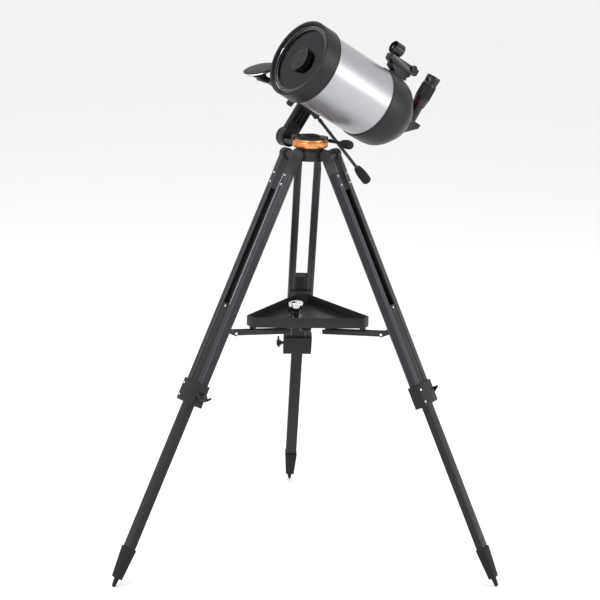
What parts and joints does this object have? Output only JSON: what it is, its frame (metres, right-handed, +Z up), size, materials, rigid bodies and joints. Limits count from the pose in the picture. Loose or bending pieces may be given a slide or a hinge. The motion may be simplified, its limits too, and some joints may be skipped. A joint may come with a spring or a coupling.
{
  "type": "schmidt-cassegrain telescope",
  "caption": "Compact catadioptric telescope on a one-arm altazimuth mount with a finder, phone dock, star diagonal and an aluminium tripod with an accessory tray.",
  "frame": {"origin": "on the floor at the middle of the object's box", "axes": "+Z up, the rear leg points to +Y and the front legs stand at -150 and -30 degrees"},
  "size_m": [0.9268, 0.8067, 1.3197],
  "materials": {
    "black_casting": "textured black powder coat",
    "anodised_rail": "black anodised, brushed along its length",
    "copper_ring": "copper-orange anodised, polished",
    "silver_tube": "satin metallic paint",
    "black_steel": "black painted sheet steel",
    "bright_steel": "turned steel",
    "black_plastic": "moulded, fine texture",
    "gloss_black": "polished black",
    "rubber": "matte rubber",
    "chrome_barrel": "chrome plated",
    "mirror_coating": "aluminised glass",
    "corrector_glass": "coated glass"
  },
  "bodies": {
    "tripod_head": {"tripod_hub": "black_casting", "azimuth_ring": "copper_ring"},
    "azimuth": {"turntable": "black_casting", "azimuth_spindle": "black_casting", "arm": "black_casting"},
    "azimuth_control": {"azimuth_control": "rubber"},
    "altitude_control": {"altitude_control": "rubber"},
    "altitude": {"saddle": "black_casting", "altitude_hub": "black_casting", "dock_bracket": "black_plastic", "dock_base": "black_plastic", "dock_mirror": "mirror_coating"},
    "saddle_knob": {"saddle_knob": "black_plastic"},
    "phone_clamp": {"phone_clamp": "black_plastic"},
    "mirror_cover": {"mirror_cover": "black_plastic"},
    "optical_tube": {"dovetail_bar": "black_casting", "front_cell": "black_casting", "retaining_ring": "gloss_black", "corrector_plate": "corrector_glass", "secondary_holder": "black_plastic", "secondary_mirror": "mirror_coating", "main_tube": "silver_tube", "rear_cell": "black_casting", "baffle_tube": "black_casting", "visual_back": "black_casting", "finder_shoe": "black_plastic", "finder_body": "black_plastic", "finder_hood": "black_plastic"},
    "focus_knob": {"focus_knob": "black_plastic"},
    "primary_mirror": {"primary_mirror": "mirror_coating"},
    "star_diagonal": {"star_diagonal": "black_plastic"},
    "eyepiece": {"eyepiece": "black_plastic"},
    "finder_dial": {"finder_dial": "black_plastic"},
    "spreader_hub": {"spreader_hub": "black_steel"},
    "tray": {"accessory_tray": "black_steel", "spare_eyepiece": "chrome_barrel"},
    "leg_1": {"top_bracket_1": "black_casting", "rail_left_1": "anodised_rail", "rail_right_1": "anodised_rail", "leg_clamp_1": "black_plastic"},
    "lower_leg_1": {"lower_leg_1": "anodised_rail", "foot_1": "rubber"},
    "wing_knob_1": {"wing_knob_1": "black_plastic"},
    "spreader_arm_1": {"spreader_arm_1": "black_steel"},
    "leg_2": {"top_bracket_2": "black_casting", "rail_left_2": "anodised_rail", "rail_right_2": "anodised_rail", "leg_clamp_2": "black_plastic"},
    "lower_leg_2": {"lower_leg_2": "anodised_rail", "foot_2": "rubber"},
    "wing_knob_2": {"wing_knob_2": "black_plastic"},
    "spreader_arm_2": {"spreader_arm_2": "black_steel"},
    "leg_3": {"top_bracket_3": "black_casting", "rail_left_3": "anodised_rail", "rail_right_3": "anodised_rail", "leg_clamp_3": "black_plastic"},
    "lower_leg_3": {"lower_leg_3": "anodised_rail", "foot_3": "rubber"},
    "wing_knob_3": {"wing_knob_3": "black_plastic"},
    "spreader_arm_3": {"spreader_arm_3": "black_steel"}
  },
  "joints": [
    {"name": "azimuth_turn", "type": "hinge", "parent": "tripod_head", "child": "azimuth", "pos_m": [0, -0.1326, 1.04], "axis": [0, 0, 1], "continuous": true},
    {"name": "azimuth_control_turn", "type": "hinge", "parent": "azimuth", "child": "azimuth_control", "pos_m": [0.04033, -0.10934, 1.03], "axis": [0.5419, -0.8405, 0], "continuous": true},
    {"name": "altitude_tilt", "type": "hinge", "parent": "azimuth", "child": "altitude", "pos_m": [0.02233, -0.00398, 1.14614], "axis": [-0.5419, 0.8405, 0], "range_deg": [-28.5, 21]},
    {"name": "altitude_control_turn", "type": "hinge", "parent": "azimuth", "child": "altitude_control", "pos_m": [-0.00336, -0.02054, 1.10531], "axis": [0.5772, 0.3721, -0.7269], "range_deg": [-1800, 1400]},
    {"name": "tube_slide", "type": "slide", "parent": "altitude", "child": "optical_tube", "axis": [-0.7381, -0.4759, 0.4782], "range_m": [-0.03, 0.03]},
    {"name": "saddle_knob_turn", "type": "hinge", "parent": "altitude", "child": "saddle_knob", "pos_m": [-0.02405, -0.07315, 1.14792], "axis": [-0.563, 0.044, -0.8253], "range_deg": [0, 1080]},
    {"name": "focus_knob_turn", "type": "hinge", "parent": "optical_tube", "child": "focus_knob", "pos_m": [0.19647, -0.05591, 1.03849], "axis": [-0.7381, -0.4759, 0.4782], "range_deg": [-2750, 2750]},
    {"name": "mirror_focus", "type": "slide", "parent": "optical_tube", "child": "primary_mirror", "axis": [-0.7381, -0.4759, 0.4782], "range_m": [-0.00562, 0.00562]},
    {"name": "diagonal_turn", "type": "hinge", "parent": "optical_tube", "child": "star_diagonal", "pos_m": [0.23947, -0.0377, 1.05671], "axis": [-0.7381, -0.4759, 0.4782], "range_deg": [-90, 90]},
    {"name": "eyepiece_slide", "type": "slide", "parent": "star_diagonal", "child": "eyepiece", "axis": [0.4818, 0.1245, 0.8674], "range_m": [0, 0.03]},
    {"name": "finder_dial_turn", "type": "hinge", "parent": "optical_tube", "child": "finder_dial", "pos_m": [0.252, -0.0439, 1.19741], "axis": [0.5419, -0.8405, 0], "range_deg": [0, 270]},
    {"name": "phone_clamp_slide", "type": "slide", "parent": "altitude", "child": "phone_clamp", "axis": [-0.5419, 0.8405, 0], "range_m": [0, 0.02], "stiffness_N_per_m": 150, "springref_m": -0.012},
    {"name": "mirror_cover_hinge", "type": "hinge", "parent": "altitude", "child": "mirror_cover", "pos_m": [-0.09176, -0.07515, 1.20675], "axis": [-0.5419, 0.8405, 0], "range_deg": [0, 110]},
    {"name": "leg_1_fold", "type": "hinge", "parent": "tripod_head", "child": "leg_1", "pos_m": [-0.04711, -0.1598, 1.0012], "axis": [0.5, -0.866, 0], "range_deg": [0, 22]},
    {"name": "leg_1_extend", "type": "slide", "parent": "leg_1", "child": "lower_leg_1", "axis": [-0.371, -0.2142, -0.9036], "range_m": [-0.28, 0.145]},
    {"name": "wing_knob_1_turn", "type": "hinge", "parent": "leg_1", "child": "wing_knob_1", "pos_m": [-0.25418, -0.32554, 0.44821], "axis": [0.5, -0.866, 0], "range_deg": [0, 360]},
    {"name": "spreader_arm_1_fold", "type": "hinge", "parent": "leg_1", "child": "spreader_arm_1", "pos_m": [-0.18013, -0.2366, 0.583], "axis": [0.5, -0.866, 0], "range_deg": [-104, 0]},
    {"name": "leg_2_fold", "type": "hinge", "parent": "tripod_head", "child": "leg_2", "pos_m": [0.04711, -0.1598, 1.0012], "axis": [0.5, 0.866, 0], "range_deg": [0, 22]},
    {"name": "leg_2_extend", "type": "slide", "parent": "leg_2", "child": "lower_leg_2", "axis": [0.371, -0.2142, -0.9036], "range_m": [-0.28, 0.145]},
    {"name": "wing_knob_2_turn", "type": "hinge", "parent": "leg_2", "child": "wing_knob_2", "pos_m": [0.29418, -0.25625, 0.44821], "axis": [0.5, 0.866, 0], "range_deg": [0, 360]},
    {"name": "spreader_arm_2_fold", "type": "hinge", "parent": "leg_2", "child": "spreader_arm_2", "pos_m": [0.18013, -0.2366, 0.583], "axis": [0.5, 0.866, 0], "range_deg": [-104, 0]},
    {"name": "leg_3_fold", "type": "hinge", "parent": "tripod_head", "child": "leg_3", "pos_m": [0, -0.0782, 1.0012], "axis": [-1, 0, 0], "range_deg": [0, 22]},
    {"name": "leg_3_extend", "type": "slide", "parent": "leg_3", "child": "lower_leg_3", "axis": [0, 0.4284, -0.9036], "range_m": [-0.28, 0.145]},
    {"name": "wing_knob_3_turn", "type": "hinge", "parent": "leg_3", "child": "wing_knob_3", "pos_m": [-0.04, 0.18399, 0.44821], "axis": [-1, 0, 0], "range_deg": [0, 360]},
    {"name": "spreader_arm_3_fold", "type": "hinge", "parent": "leg_3", "child": "spreader_arm_3", "pos_m": [0, 0.0754, 0.583], "axis": [-1, 0, 0], "range_deg": [-104, 0]},
    {"name": "spreader_hub_drop", "type": "slide", "parent": "tripod_head", "child": "spreader_hub", "axis": [0, 0, -1], "range_m": [0, 0.19]},
    {"name": "tray_slide", "type": "slide", "parent": "tripod_head", "child": "tray", "axis": [0, -1, 0], "range_m": [0, 0.47]}
  ],
  "couplings": [
    {"joint": "azimuth_control_turn", "follows": "azimuth_turn", "ratio": 60},
    {"joint": "altitude_control_turn", "follows": "altitude_tilt", "ratio": 60},
    {"joint": "focus_knob_turn", "follows": "mirror_focus", "rad_per_m": 8377.6},
    {"joint": "spreader_arm_1_fold", "follows": "leg_1_fold", "ratio": -4.695},
    {"joint": "leg_2_fold", "follows": "leg_1_fold", "ratio": 1},
    {"joint": "spreader_arm_2_fold", "follows": "leg_1_fold", "ratio": -4.695},
    {"joint": "leg_3_fold", "follows": "leg_1_fold", "ratio": 1},
    {"joint": "spreader_arm_3_fold", "follows": "leg_1_fold", "ratio": -4.695},
    {"joint": "spreader_hub_drop", "follows": "leg_1_fold", "m_per_rad": 0.491},
    {"joint": "tray_slide", "follows": "leg_1_fold", "m_per_rad": 1.2}
  ]
}
